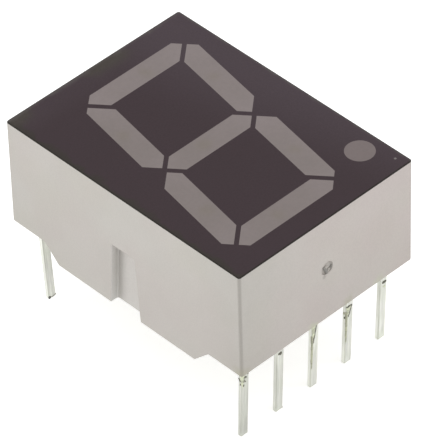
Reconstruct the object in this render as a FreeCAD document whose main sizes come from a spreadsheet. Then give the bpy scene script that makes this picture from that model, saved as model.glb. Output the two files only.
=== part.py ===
import FreeCAD, Part
import math
import os
import re
import Sketcher
from FreeCAD import Vector

# A single-digit seven-segment display with a decimal point, a 14.2 mm digit and ten leads.
# The moulded reflector housing carries a dark face layer and eight light pipes of cast
# epoxy. Under them a stamped lead frame holds one chip and one bond wire for each light
# pipe, and a potting compound closes the back.
# The frame: +Z out of the face, +Y up the digit, +X to its right. The origin is the middle
# of the lead pattern, on the plane where the housing's skirts rest on a board.

SIZES = {
    # Housing. Its length follows the digit and its width the leads.
    "end_margin": 1.49,
    "face_height": 7.9,
    "corner_radius": 0.15,
    "side_wall": 0.8,
    "end_wall": 0.7,
    "cavity_radius": 0.3,
    "deck_level": 3.25,
    # The end walls stand clear of the board, and the skirts between them rest on it
    "end_lift": 1.05,
    "skirt_inset": 3.5,
    # Key slots in the two long sides, widest at their foot
    "key_width": 2.2,
    "key_depth": 0.5,
    "key_top": 4.2,
    "key_draft": 3.8,
    "key_radius": 0.12,
    # Gate mark of the moulding
    "gate_level": 4.5,
    "gate_width": 0.8,
    "gate_depth": 0.12,
    "gate_stub": 0.26,
    # Face layer
    "mask_thickness": 0.06,
    # Digit, measured upright and then slanted
    "digit_height": 14.22,
    "side_margin": 1.004,
    "digit_rise": -0.14,
    "slant": 10,
    "bar_height": 1.365,
    "bar_width": 1.422,
    "mitre_gap": 0.28,
    "mitre_shift": 0.18,
    "sharp_corner_cut": 1.13,
    "blunt_corner_cut": 0.925,
    "waist_cut_high": 0.37,
    "waist_cut_low": 0.22,
    "point_inset": 1.355,
    "point_lift": 1.08,
    "point_diameter": 1.64,
    # Light pipes below the face
    "land_depth": 0.34,
    "floor_share": 0.6,
    "floor_margin": 0.41,
    "point_floor": 1.3,
    # Coring pockets inside the two loops of the digit
    "coring_wall": 0.84,
    "front_wall": 1.39,
    # Potting compound
    "potting_level": 1.3,
    # Lead frame
    "pitch": 2.54,
    "side_gap": 0.095,
    "end_gap": 0.155,
    "lead_width": 0.5,
    "lead_thickness": 0.25,
    "lead_length": 4.6,
    "bend_radius": 0.15,
    "stub_reach": 0.62,
    "toe_in": 2.5,
    # The bent lead, which was also clipped shorter
    "bent_lead_length": 4.35,
    "bent_toe_in": 4,
    "pad_width": 0.6,
    "tab_width": 0.44,
    "jog_across": 1.0,
    "jog_reach": 1.9,
    "arm_inset": 0.57,
    # Chips and bond wires
    "chip_width": 0.28,
    "chip_height": 0.15,
    "chip_offset": 0.35,
    "bond_offset": 0.45,
    "wire_thickness": 0.03,
    "wire_loop": 0.22,
}

doc = FreeCAD.newDocument("SevenSegmentDisplay")
sheet = doc.addObject("Spreadsheet::Sheet", "Sizes")
for line, (alias, size) in enumerate(SIZES.items(), start=1):
    sheet.set(f"A{line}", alias)
    sheet.set(f"B{line}", str(size))
    sheet.setAlias(f"B{line}", alias)
doc.recompute()


# Helpers for bound features
def sized(formula):
    """The formula with each name of a size pointing at its cell."""

    def to_cell(word):
        name = word.group()
        return f"Sizes.{name}" if name in SIZES else name

    return re.sub(r"[a-z_]+", to_cell, formula)


def bind(thing, formulas):
    for path, formula in formulas.items():
        thing.setExpression(path, sized(formula))


def new_body(label):
    body = doc.addObject("PartDesign::Body", label)
    body.Label = label
    doc.recompute()
    return body


def new_sketch(body, name, role, offset):
    """A sketch on one of the body's own planes, moved along the plane's normal."""
    plane = next(item for item in body.Origin.OriginFeatures if item.Role == role)
    sketch = body.newObject("Sketcher::SketchObject", name)
    sketch.AttachmentSupport = [(plane, "")]
    sketch.MapMode = "FlatFace"
    bind(sketch, {"AttachmentOffset.Base.z": offset})
    return sketch


def fix_point(sketch, edge, end, start, formulas):
    """Holds one point of an edge at two formulas measured from the sketch's origin."""
    for kind, value, formula in zip(("DistanceX", "DistanceY"), start, formulas):
        limit = Sketcher.Constraint(kind, -1, 1, edge, end, value)
        number = sketch.addConstraint(limit)
        bind(sketch, {f"Constraints[{number}]": formula})


def draw_outline(sketch, corners):
    """A closed outline of straight edges through corners that are given as formulas."""
    first = sketch.GeometryCount
    count = len(corners)
    turns = [2 * math.pi * place / count for place in range(count)]
    starts = [Vector(math.cos(turn), math.sin(turn), 0) for turn in turns]
    for place in range(count):
        sketch.addGeometry(Part.LineSegment(starts[place], starts[(place + 1) % count]))
    for place in range(count):
        after = first + (place + 1) % count
        sketch.addConstraint(Sketcher.Constraint("Coincident", first + place, 2, after, 1))
    for place, formulas in enumerate(corners):
        fix_point(sketch, first + place, 1, (starts[place].x, starts[place].y), formulas)


def draw_rectangle(sketch, width, length):
    left, right = f"-({width}) / 2", f"({width}) / 2"
    low, high = f"-({length}) / 2", f"({length}) / 2"
    draw_outline(sketch, [(left, low), (right, low), (right, high), (left, high)])


def draw_circle(sketch, across, up, diameter):
    circle = sketch.addGeometry(Part.Circle(Vector(0, 0, 0), Vector(0, 0, 1), 1))
    fix_point(sketch, circle, 3, (1, 1), (across, up))
    number = sketch.addConstraint(Sketcher.Constraint("Diameter", circle, 2))
    bind(sketch, {f"Constraints[{number}]": diameter})


def extrude(body, kind, name, sketch, length, reverse=False, both_ways=False):
    """A Pad or a Pocket of a sketch."""
    feature = body.newObject(f"PartDesign::{kind}", name)
    feature.Profile = sketch
    feature.Reversed = reverse
    if both_ways:
        feature.SideType = "Symmetric"
    bind(feature, {"Length": length})
    body.Tip = feature


# An edge counts as upright up to this cosine of its lean, and a point as on a wall up to
# this distance
UPRIGHT = 0.98
ON_WALL = 1e-6


def round_upright_edges(body, name, radius, picked):
    """Fillets the edges along Z, or drafted from it, whose middle the test picks."""
    doc.recompute()
    base = body.Tip
    upright = []
    for number, edge in enumerate(base.Shape.Edges, start=1):
        ends = [vertex.Point for vertex in edge.Vertexes]
        run = ends[-1] - ends[0]
        if abs(run.z) > UPRIGHT * run.Length > 0 and picked((ends[0] + ends[-1]) * 0.5):
            upright.append(f"Edge{number}")
    fillet = body.newObject("PartDesign::Fillet", name)
    fillet.Base = (base, upright)
    bind(fillet, {"Radius": radius})
    body.Tip = fillet


# The housing fits round the two rows of five leads across, and round the digit along its
# height. The leads stand just inside the end walls, which puts the rows 15.24 mm apart.
BODY_WIDTH = "(4 * pitch + lead_width + 2 * side_gap + 2 * side_wall)"
BODY_LENGTH = "(digit_height + 2 * end_margin)"
ROW = f"({BODY_LENGTH} / 2 - end_wall - end_gap - lead_thickness / 2)"

# The digit, drawn upright about its centre. Every mitre lies at 45 degrees there, so a
# slash is a line where across - up is one value, and a backslash one where across + up is.
OUTER_ACROSS = f"({BODY_WIDTH} / 2 - side_margin - digit_height / 2 * tan(slant))"
INNER_ACROSS = f"({OUTER_ACROSS} - bar_width)"
NODE_ACROSS = f"({OUTER_ACROSS} - bar_width / 2)"
OUTER_UP = "(digit_height / 2)"
INNER_UP = "(digit_height / 2 - bar_height)"
NODE_UP = "(digit_height / 2 - bar_height / 2)"
HALF_GAP = "(mitre_gap / 2 * sqrt(2))"
TOP_SLASH = f"({NODE_ACROSS} - {NODE_UP})"
TOP_BACKSLASH = f"({NODE_UP} - {NODE_ACROSS} - mitre_shift)"
WAIST_BACKSLASH = f"({NODE_ACROSS} - mitre_shift)"
SHARP_CORNER = f"({OUTER_ACROSS} + {OUTER_UP} - sharp_corner_cut)"
BLUNT_CORNER = f"({OUTER_ACROSS} + {OUTER_UP} - blunt_corner_cut)"
HIGH_WAIST = f"({NODE_ACROSS} - waist_cut_high)"
LOW_WAIST = f"({NODE_ACROSS} - waist_cut_low)"


def crossing(slash, backslash):
    """Where a slash line meets a backslash line."""
    return f"(({backslash}) + ({slash})) / 2", f"(({backslash}) - ({slash})) / 2"


def turned(corners):
    """The same outline turned half a turn about the digit's centre."""
    return [(f"-({across})", f"-({up})") for across, up in corners]


# Each outline starts with the three corners of its right or upper end.
BAR_A = [
    (f"{INNER_UP} + {TOP_SLASH} - {HALF_GAP}", INNER_UP),
    crossing(f"{TOP_SLASH} - {HALF_GAP}", SHARP_CORNER),
    (f"{SHARP_CORNER} - {OUTER_UP}", OUTER_UP),
    (f"{OUTER_UP} - {BLUNT_CORNER}", OUTER_UP),
    crossing(f"-{BLUNT_CORNER}", f"{TOP_BACKSLASH} + {HALF_GAP}"),
    (f"{TOP_BACKSLASH} + {HALF_GAP} - {INNER_UP}", INNER_UP),
]
BAR_B = [
    (INNER_ACROSS, f"{INNER_ACROSS} - {TOP_SLASH} - {HALF_GAP}"),
    crossing(f"{TOP_SLASH} + {HALF_GAP}", SHARP_CORNER),
    (OUTER_ACROSS, f"{SHARP_CORNER} - {OUTER_ACROSS}"),
    (OUTER_ACROSS, f"{OUTER_ACROSS} - {LOW_WAIST}"),
    crossing(LOW_WAIST, f"{WAIST_BACKSLASH} + {HALF_GAP}"),
    (INNER_ACROSS, f"{WAIST_BACKSLASH} + {HALF_GAP} - {INNER_ACROSS}"),
]
BAR_C = [
    (INNER_ACROSS, f"{INNER_ACROSS} - {NODE_ACROSS} - {HALF_GAP}"),
    crossing(f"{NODE_ACROSS} + {HALF_GAP}", HIGH_WAIST),
    (OUTER_ACROSS, f"{HIGH_WAIST} - {OUTER_ACROSS}"),
    (OUTER_ACROSS, f"{OUTER_ACROSS} - {BLUNT_CORNER}"),
    crossing(BLUNT_CORNER, f"{HALF_GAP} - {TOP_BACKSLASH}"),
    (INNER_ACROSS, f"{HALF_GAP} - {TOP_BACKSLASH} - {INNER_ACROSS}"),
]
BAR_G_END = [
    (f"{NODE_ACROSS} - {HALF_GAP} - bar_height / 2", "-bar_height / 2"),
    crossing(f"{NODE_ACROSS} - {HALF_GAP}", f"{WAIST_BACKSLASH} - {HALF_GAP}"),
    (f"{WAIST_BACKSLASH} - {HALF_GAP} - bar_height / 2", "bar_height / 2"),
]

# Each drawn bar has its outline, whether it runs across, and its centre. The other three
# are the same bars turned.
DRAWN = {
    "a": (BAR_A, True, ("0", NODE_UP)),
    "b": (BAR_B, False, (NODE_ACROSS, f"{NODE_UP} / 2")),
    "c": (BAR_C, False, (NODE_ACROSS, f"-{NODE_UP} / 2")),
    "g": (BAR_G_END + turned(BAR_G_END), True, ("0", "0")),
}
TURNED = {"d": "a", "e": "b", "f": "c"}
BARS = "abcdefg"


def slanted(corner):
    """A point of the upright digit where it lies on the face."""
    across, up = corner
    return f"({across}) + ({up}) * tan(slant)", f"({up}) + digit_rise"


# Each floor reaches past the chip on one side of its middle and past the bond on the other
FLOOR_REACH = "(max(chip_offset + chip_width / 2; bond_offset) + floor_margin)"


def upright_floor(corners, runs_across, middle):
    """The narrow lower end of a light pipe. Each end of the bar shrinks and moves in along
    the bar, which keeps every side of the pipe flat."""
    half = NODE_ACROSS if runs_across else f"{NODE_UP} / 2"
    floor = []
    for place, corner in enumerate(corners):
        sign = "+" if place < len(corners) / 2 else "-"
        pull = f"{sign} ({FLOOR_REACH} - floor_share * {half})"
        across, up = (f"{m} + floor_share * (({c}) - ({m}))" for c, m in zip(corner, middle))
        floor.append((across + pull, up) if runs_across else (across, up + pull))
    return floor


def outline_of(bar, at_floor=False):
    if bar in TURNED:
        corners, runs_across, middle = DRAWN[TURNED[bar]]
    else:
        corners, runs_across, middle = DRAWN[bar]
    if at_floor:
        corners = upright_floor(corners, runs_across, middle)
    if bar in TURNED:
        corners = turned(corners)
    return [slanted(corner) for corner in corners]


POINT_ACROSS = f"({BODY_WIDTH} / 2 - point_inset)"
POINT_UP = "(digit_rise - digit_height / 2 + point_lift)"


def centre_of(light):
    if light == "point":
        return POINT_ACROSS, POINT_UP
    if light in TURNED:
        return slanted(turned([DRAWN[TURNED[light]][2]])[0])
    return slanted(DRAWN[light][2])


def draw_light(sketch, light, at_floor=False):
    """The outline of one light pipe, at the face or at its floor."""
    if light == "point":
        diameter = "point_floor" if at_floor else "point_diameter"
        draw_circle(sketch, POINT_ACROSS, POINT_UP, diameter)
    else:
        draw_outline(sketch, outline_of(light, at_floor))


LIGHTS = list(BARS) + ["point"]
HOUSING_TOP = "(face_height - mask_thickness)"
LAND_LEVEL = f"({HOUSING_TOP} - land_depth)"
CAVITY_WIDTH = f"({BODY_WIDTH} - 2 * side_wall)"
CAVITY_LENGTH = f"({BODY_LENGTH} - 2 * end_wall)"
LOOP_MIDDLE = f"(({INNER_UP} + bar_height / 2) / 2)"
CORING_TOP = f"({HOUSING_TOP} - front_wall)"


def draw_coring(sketch):
    """The two slanted pockets behind the blank fields inside the digit's loops."""
    half_width = f"({INNER_ACROSS} - coring_wall)"
    half_length = f"(({INNER_UP} - bar_height / 2) / 2 - coring_wall)"
    for side in ("", "-"):
        middle = f"{side}{LOOP_MIDDLE}"
        corners = [
            (f"-{half_width}", f"{middle} - {half_length}"),
            (half_width, f"{middle} - {half_length}"),
            (half_width, f"{middle} + {half_length}"),
            (f"-{half_width}", f"{middle} + {half_length}"),
        ]
        draw_outline(sketch, [slanted(corner) for corner in corners])


# Light funnels: the flat-sided taper under each opening of the face, from its mouth at the
# land down to a small floor at the deck. The housing is cut to it, and the epoxy fills it.
def new_level_sketch(name, level):
    """A sketch that belongs to no body, for a form that several pieces share."""
    sketch = doc.addObject("Sketcher::SketchObject", name)
    bind(sketch, {"Placement.Base.z": level})
    return sketch


mouths = {}
funnels = {}
for light in LIGHTS:
    mouth = new_level_sketch(f"mouth_{light}", LAND_LEVEL)
    draw_light(mouth, light)
    floor = new_level_sketch(f"floor_{light}", "deck_level")
    draw_light(floor, light, at_floor=True)
    funnel = doc.addObject("Part::Loft", f"funnel_{light}")
    funnel.Sections = [mouth, floor]
    funnel.Solid = True
    funnel.Ruled = True
    funnel.Linearize = True
    mouths[light] = mouth
    funnels[light] = funnel

# Reflector housing: one moulding with a solid deck, a funnel for each light pipe, a cavity
# for the lead frame behind, skirts to stand on and a key slot in each long side
housing = new_body("housing_moulding")
block = new_sketch(housing, "housing_outline", "XY_Plane", "0")
draw_rectangle(block, BODY_WIDTH, BODY_LENGTH)
extrude(housing, "Pad", "housing_block", block, HOUSING_TOP)
round_upright_edges(housing, "housing_corners", "corner_radius", lambda point: True)

cavity = new_sketch(housing, "cavity_outline", "XY_Plane", "0")
draw_rectangle(cavity, CAVITY_WIDTH, CAVITY_LENGTH)
extrude(housing, "Pocket", "back_cavity", cavity, "deck_level", reverse=True)
widest = housing.Shape.BoundBox.XMax - SIZES["side_wall"] / 2
round_upright_edges(
    housing, "cavity_corners", "cavity_radius", lambda point: abs(point.x) < widest
)

ends = new_sketch(housing, "end_relief_profile", "YZ_Plane", "0")
for side in ("", "-"):
    draw_outline(ends, [
        (f"{side}({BODY_LENGTH} / 2 - skirt_inset)", "0"),
        (f"{side}({BODY_LENGTH} / 2 - skirt_inset + end_lift)", "end_lift"),
        (f"{side}({BODY_LENGTH} / 2 + end_lift)", "end_lift"),
        (f"{side}({BODY_LENGTH} / 2 + end_lift)", "0"),
    ])
extrude(housing, "Pocket", "end_relief", ends, f"{BODY_WIDTH} + side_wall", both_ways=True)

KEY_NARROWING = "(key_top * tan(key_draft))"
for side, way in (("right", 1), ("left", -1)):
    inner_wall = f"{way} * ({BODY_WIDTH} / 2 - key_depth)"
    key = new_sketch(housing, f"key_profile_{side}", "YZ_Plane", inner_wall)
    draw_outline(key, [
        ("key_width / 2", "0"),
        (f"key_width / 2 - {KEY_NARROWING}", "key_top"),
        (f"{KEY_NARROWING} - key_width / 2", "key_top"),
        ("-key_width / 2", "0"),
    ])
    extrude(housing, "Pocket", f"key_slot_{side}", key, "2 * key_depth", reverse=way > 0)
slot_wall = housing.Shape.BoundBox.XMax - SIZES["key_depth"]
round_upright_edges(
    housing, "key_corners", "key_radius", lambda point: abs(abs(point.x) - slot_wall) < ON_WALL
)

coring = new_sketch(housing, "coring_outlines", "XY_Plane", "deck_level")
draw_coring(coring)
extrude(housing, "Pocket", "coring_pockets", coring, f"{CORING_TOP} - deck_level", reverse=True)

lands = new_sketch(housing, "land_outlines", "XY_Plane", HOUSING_TOP)
for light in LIGHTS:
    draw_light(lands, light)
extrude(housing, "Pocket", "funnel_lands", lands, "land_depth")

gate = new_sketch(housing, "gate_outline", "XZ_Plane", f"{BODY_LENGTH} / 2")
draw_circle(gate, "0", "gate_level", "gate_width")
extrude(housing, "Pocket", "gate_recess", gate, "gate_depth")
stub = new_sketch(housing, "gate_stub_outline", "XZ_Plane", f"{BODY_LENGTH} / 2 - gate_depth")
draw_circle(stub, "0", "gate_level", "gate_stub")
extrude(housing, "Pad", "gate_stub_left", stub, "gate_depth / 2")

all_funnels = doc.addObject("Part::Compound", "all_funnels")
all_funnels.Links = list(funnels.values())
cut_housing = doc.addObject("Part::Cut", "reflector_housing")
cut_housing.Label = "reflector_housing"
cut_housing.Base = housing
cut_housing.Tool = all_funnels

# Face layer: the dark coating of the face, with a window for each light pipe
mask = new_body("face_mask")
sheet_outline = new_sketch(mask, "mask_outline", "XY_Plane", HOUSING_TOP)
draw_rectangle(sheet_outline, BODY_WIDTH, BODY_LENGTH)
extrude(mask, "Pad", "mask_layer", sheet_outline, "mask_thickness")
round_upright_edges(mask, "mask_corners", "corner_radius", lambda point: True)
windows = new_sketch(mask, "mask_windows", "XY_Plane", "face_height")
for light in LIGHTS:
    draw_light(windows, light)
extrude(mask, "Pocket", "window_openings", windows, "mask_thickness")

# Chips: each stands on its own lead, beside the common pad that its wire reaches. A side
# says which way the chip lies from the middle of its light pipe, across and up.
CHIP_SIDE = {
    "a": (1, 0),
    "b": (0, 1),
    "c": (0, -1),
    "d": (-1, 0),
    "e": (0, -1),
    "f": (0, 1),
    "g": (-1, 0),
    "point": (0, -1),
}


def chip_at(light):
    return tuple(
        f"({middle}) + {side} * chip_offset"
        for middle, side in zip(centre_of(light), CHIP_SIDE[light])
    )


def bond_at(light):
    return tuple(
        f"({middle}) - {side} * bond_offset"
        for middle, side in zip(centre_of(light), CHIP_SIDE[light])
    )


chips = {}
for light in LIGHTS:
    across, up = chip_at(light)
    chip = doc.addObject("Part::Box", f"chip_{light}")
    chip.Label = f"chip_{light}"
    bind(chip, {
        "Length": "chip_width",
        "Width": "chip_width",
        "Height": "chip_height",
        "Placement.Base.x": f"{across} - chip_width / 2",
        "Placement.Base.y": f"{up} - chip_width / 2",
        "Placement.Base.z": "deck_level",
    })
    chips[light] = chip

# Bond wires: a fine loop from the top of each chip down to the common lead. The corners
# are distances from the chip towards the bond, and levels.
SPAN = "(chip_offset + bond_offset)"
CHIP_TOP = "(deck_level + chip_height)"
LOOP_TOP = f"({CHIP_TOP} + wire_loop)"
WIRE_LOOP = [
    ("-wire_thickness / 2", CHIP_TOP),
    ("-wire_thickness / 2", f"{LOOP_TOP} - 2 * wire_thickness"),
    ("2 * wire_thickness", LOOP_TOP),
    (f"{SPAN} / 2", LOOP_TOP),
    (f"{SPAN} + wire_thickness / 2", "deck_level + 3 * wire_thickness"),
    (f"{SPAN} + wire_thickness / 2", "deck_level"),
    (f"{SPAN} - wire_thickness / 2", "deck_level"),
    (f"{SPAN} - wire_thickness / 2", "deck_level + 2.5 * wire_thickness"),
    (f"{SPAN} / 2 - wire_thickness / 2", f"{LOOP_TOP} - wire_thickness"),
    ("2.5 * wire_thickness", f"{LOOP_TOP} - wire_thickness"),
    ("wire_thickness / 2", f"{LOOP_TOP} - 2.5 * wire_thickness"),
    ("wire_thickness / 2", CHIP_TOP),
]
wires = {}
for light in LIGHTS:
    across, up = chip_at(light)
    side_across, side_up = CHIP_SIDE[light]
    wire = new_body(f"bond_wire_{light}")
    if side_across:
        start, side = across, side_across
        profile = new_sketch(wire, f"wire_profile_{light}", "XZ_Plane", f"-({up})")
    else:
        start, side = up, side_up
        profile = new_sketch(wire, f"wire_profile_{light}", "YZ_Plane", across)
    draw_outline(profile, [
        (f"{start} - {side} * ({distance})", level) for distance, level in WIRE_LOOP
    ])
    extrude(wire, "Pad", f"wire_{light}", profile, "wire_thickness", both_ways=True)
    wires[light] = wire

# Light pipes: clear epoxy cast into the funnels, flush with the face layer, with each chip
# and wire held in its lower end
for light in LIGHTS:
    label = "decimal_point" if light == "point" else f"segment_{light}"
    head = doc.addObject("Part::Extrusion", f"pipe_head_{light}")
    head.Base = mouths[light]
    head.DirMode = "Normal"
    head.Solid = True
    bind(head, {"LengthFwd": "land_depth + mask_thickness"})
    casting = doc.addObject("Part::Fuse", f"casting_{light}")
    casting.Base = head
    casting.Tool = funnels[light]
    held = doc.addObject("Part::Compound", f"held_{light}")
    held.Links = [chips[light], wires[light]]
    pipe = doc.addObject("Part::Cut", label)
    pipe.Label = label
    pipe.Base = casting
    pipe.Tool = held

# Lead frame: fingers stamped from one sheet, which lie under the deck, and a leg bent down
# from each. All the legs toe in a little, and one is bent further.
FRAME_BOTTOM = "(deck_level - lead_thickness)"
STUB_END = f"({ROW} - stub_reach)"


def round_bend(body, name, face_of_sheet, radius):
    """Fillets the cross edge of a leg at its bend. The upper face of the sheet is the
    outside of the bend, 1, and its lower face the inside, -1."""
    doc.recompute()
    base = body.Tip
    box = base.Shape.BoundBox
    half = SIZES["lead_thickness"] / 2
    row = max(abs(box.YMin), abs(box.YMax)) - half + face_of_sheet * half
    level = box.ZMax - half + face_of_sheet * half
    bends = []
    for number, edge in enumerate(base.Shape.Edges, start=1):
        middle = edge.CenterOfMass
        at_bend = abs(middle.z - level) < half / 2 and abs(abs(middle.y) - row) < half / 2
        runs_across = abs(edge.Vertexes[0].X - edge.Vertexes[-1].X) > half
        if at_bend and runs_across:
            bends.append(f"Edge{number}")
    fillet = body.newObject("PartDesign::Fillet", name)
    fillet.Base = (base, bends)
    bind(fillet, {"Radius": radius})
    body.Tip = fillet


def make_leg(name, column, side, toe_in, length):
    """A leg from its stub in the frame, round the bend and down to its tip. The side is
    the sign of its row."""
    body = new_body(f"leg_{name}")
    profile = new_sketch(body, f"leg_profile_{name}", "YZ_Plane", column)
    half = "lead_thickness / 2"
    lean = f"(potting_level + {length}) * tan({toe_in})"
    corners = [
        (STUB_END, "deck_level"),
        (f"{ROW} + {half}", "deck_level"),
        (f"{ROW} + {half}", "potting_level"),
        (f"{ROW} + {half} - {lean}", f"-{length}"),
        (f"{ROW} - {half} - {lean}", f"-{length}"),
        (f"{ROW} - {half}", "potting_level"),
        (f"{ROW} - {half}", FRAME_BOTTOM),
        (STUB_END, FRAME_BOTTOM),
    ]
    draw_outline(profile, [(f"{side} * ({out})", level) for out, level in corners])
    extrude(body, "Pad", f"leg_blank_{name}", profile, "lead_width", both_ways=True)
    round_bend(body, f"bend_outside_{name}", 1, "bend_radius + lead_thickness")
    round_bend(body, f"bend_inside_{name}", -1, "bend_radius")
    return body


def make_finger(name, left, right, low, high):
    """A straight strip of the frame between two places across and two up."""
    finger = doc.addObject("Part::Box", name)
    bind(finger, {
        "Length": f"({right}) - ({left})",
        "Width": f"({high}) - ({low})",
        "Height": "lead_thickness",
        "Placement.Base.x": left,
        "Placement.Base.y": low,
        "Placement.Base.z": FRAME_BOTTOM,
    })
    return finger


def across_strip(name, left, right, up, width="lead_width"):
    return make_finger(name, left, right, f"({up}) - {width} / 2", f"({up}) + {width} / 2")


def up_strip(name, across, low, high, width="lead_width"):
    return make_finger(name, f"({across}) - {width} / 2", f"({across}) + {width} / 2", low, high)


def join_lead(label, pieces):
    lead = doc.addObject("Part::MultiFuse", label)
    lead.Label = label
    lead.Shapes = pieces
    lead.Refine = True
    return lead


# The two rows of leads, each from left to right
ROWS = {
    -1: ("e", "d", "common_low", "c", "point"),
    1: ("g", "f", "common_high", "a", "b"),
}
BENT_LEAD = "g"


def make_lead(light, column, side, leg):
    """A finger that runs in from its leg along the column, and the chip's pad across it."""
    chip_across, chip_up = chip_at(light)
    half_pad, half_lead = "pad_width / 2", "lead_width / 2"
    pad_left = f"min({chip_across} - {half_pad}; {column} - {half_lead})"
    pad_right = f"max({chip_across} + {half_pad}; {column} + {half_lead})"
    if side > 0:
        span = (f"{chip_up} - {half_pad}", STUB_END)
    else:
        span = (f"-{STUB_END}", f"{chip_up} + {half_pad}")
    return join_lead(f"lead_{light}", [
        leg,
        up_strip(f"finger_{light}", column, *span),
        across_strip(f"pad_{light}", pad_left, pad_right, chip_up, "pad_width"),
    ])


leads = []
common_pieces = []
for side, row in ROWS.items():
    for place, light in enumerate(row):
        column = f"({place - len(row) // 2} * pitch)"
        if light == BENT_LEAD:
            leg = make_leg(light, column, side, "bent_toe_in", "bent_lead_length")
        else:
            leg = make_leg(light, column, side, "toe_in", "lead_length")
        if light in LIGHTS:
            leads.append(make_lead(light, column, side, leg))
        else:
            common_pieces.append(leg)

# The common lead joins the two middle legs, steps round the chip of the middle bar, and
# has a tab at every bond. Each tab starts at the strip that carries it and ends past its
# bond, by half a pad under the four upright bars and by half its own width elsewhere.
ARM_ACROSS = f"({POINT_ACROSS} - arm_inset)"
TAB_ROOT = {
    "a": "0",
    "b": "0",
    "c": ARM_ACROSS,
    "d": "0",
    "e": "0",
    "f": "0",
    "g": "jog_across",
    "point": ARM_ACROSS,
}
RIGHTWARD_TABS = ("a", "b", "point")


def make_tab(light):
    across, up = bond_at(light)
    overhang = "pad_width / 2" if light in "bcef" else "tab_width / 2"
    if light in RIGHTWARD_TABS:
        reach = (TAB_ROOT[light], f"{across} + {overhang}")
    else:
        reach = (f"{across} - {overhang}", TAB_ROOT[light])
    return across_strip(f"tab_{light}", *reach, up, "tab_width")


HALF_LEAD = "lead_width / 2"
point_bond_up = bond_at("point")[1]
common_pieces += [
    up_strip("spine_low", "0", f"-{STUB_END}", f"{HALF_LEAD} - jog_reach"),
    up_strip("spine_high", "0", f"jog_reach - {HALF_LEAD}", STUB_END),
    up_strip("spine_middle", "jog_across", "-jog_reach", "jog_reach"),
    across_strip("jog_high", f"-{HALF_LEAD}", f"jog_across + {HALF_LEAD}", "jog_reach"),
    across_strip("jog_low", f"-{HALF_LEAD}", f"{ARM_ACROSS} + {HALF_LEAD}", "-jog_reach"),
    up_strip("arm_down", ARM_ACROSS, f"{point_bond_up} - tab_width / 2", "-jog_reach"),
]
common_pieces += [make_tab(light) for light in LIGHTS]
leads.append(join_lead("lead_common", common_pieces))

# Potting: the compound that fills the cavity and the coring round the lead frame
filling = new_body("potting_blank")
fill_outline = new_sketch(filling, "potting_outline", "XY_Plane", "potting_level")
draw_rectangle(fill_outline, CAVITY_WIDTH, CAVITY_LENGTH)
extrude(filling, "Pad", "potting_block", fill_outline, "deck_level - potting_level")
round_upright_edges(filling, "potting_corners", "cavity_radius", lambda point: True)
plugs = new_sketch(filling, "plug_outlines", "XY_Plane", "deck_level")
draw_coring(plugs)
extrude(filling, "Pad", "coring_plugs", plugs, f"{CORING_TOP} - deck_level")
frame_held = doc.addObject("Part::Compound", "lead_frame_held")
frame_held.Links = leads
potting = doc.addObject("Part::Cut", "back_potting")
potting.Label = "back_potting"
potting.Base = filling
potting.Tool = frame_held

doc.recompute()

# The pieces that the display is made of, each written to its own file
PIECES = ["reflector_housing", "face_mask", "back_potting", "lead_common", "decimal_point"]
PIECES += [f"segment_{bar}" for bar in BARS]
PIECES += [f"{kind}_{light}" for kind in ("lead", "chip", "bond_wire") for light in LIGHTS]

for item in doc.Objects:
    if "Invalid" in item.State or "Error" in item.State:
        raise RuntimeError(f"{item.Label} did not build: {item.State}")
by_label = {item.Label: item for item in doc.Objects}
for name in PIECES:
    shape = by_label[name].Shape
    if shape.isNull() or not shape.isValid() or not shape.Solids:
        raise RuntimeError(f"{name} has no sound solid")

os.makedirs("parts", exist_ok=True)
for name in PIECES:
    by_label[name].Shape.exportStep(f"parts/{name}.step")
    print(name, round(by_label[name].Shape.Volume, 4), len(by_label[name].Shape.Solids))
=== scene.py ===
import collections
import math
import random

import bmesh
import bpy
from mathutils import Matrix, Quaternion, Vector, noise


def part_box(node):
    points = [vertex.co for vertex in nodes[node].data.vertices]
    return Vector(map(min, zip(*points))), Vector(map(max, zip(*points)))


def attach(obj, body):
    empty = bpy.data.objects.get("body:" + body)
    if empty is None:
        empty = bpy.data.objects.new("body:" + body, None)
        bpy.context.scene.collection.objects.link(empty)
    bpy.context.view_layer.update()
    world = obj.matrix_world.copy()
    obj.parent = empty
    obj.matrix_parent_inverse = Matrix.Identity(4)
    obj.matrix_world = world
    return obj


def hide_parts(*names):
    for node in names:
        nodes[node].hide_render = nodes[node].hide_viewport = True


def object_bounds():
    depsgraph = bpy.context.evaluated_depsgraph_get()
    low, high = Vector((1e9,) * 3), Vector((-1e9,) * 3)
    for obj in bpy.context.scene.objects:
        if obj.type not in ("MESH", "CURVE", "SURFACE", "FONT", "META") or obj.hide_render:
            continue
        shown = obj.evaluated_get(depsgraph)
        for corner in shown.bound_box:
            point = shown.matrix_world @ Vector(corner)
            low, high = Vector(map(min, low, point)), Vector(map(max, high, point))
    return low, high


# A single-digit seven-segment display standing on its ten leads. All sizes here are in
# millimetres, and MM turns them into the frame's metres. +Z points out of the face, +Y up
# the digit and +X to its right.
MM = 0.001

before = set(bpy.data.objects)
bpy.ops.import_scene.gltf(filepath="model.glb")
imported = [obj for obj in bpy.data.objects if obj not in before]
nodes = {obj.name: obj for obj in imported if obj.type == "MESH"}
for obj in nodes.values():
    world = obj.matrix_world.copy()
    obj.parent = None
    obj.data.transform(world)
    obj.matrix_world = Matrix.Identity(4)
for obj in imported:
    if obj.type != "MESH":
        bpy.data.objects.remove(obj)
cad_low, cad_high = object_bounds()

# The view: a long lens looks down on the lower left corner of the display, a little rolled.
CAMERA_PLACE = Vector((-125.632, -134.323, 168.634))
CAMERA_AIM = Vector((-1.206, -1.517, 3.995))
CAMERA_ROLL = -1.829
CAMERA_LENS = 385.0

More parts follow.
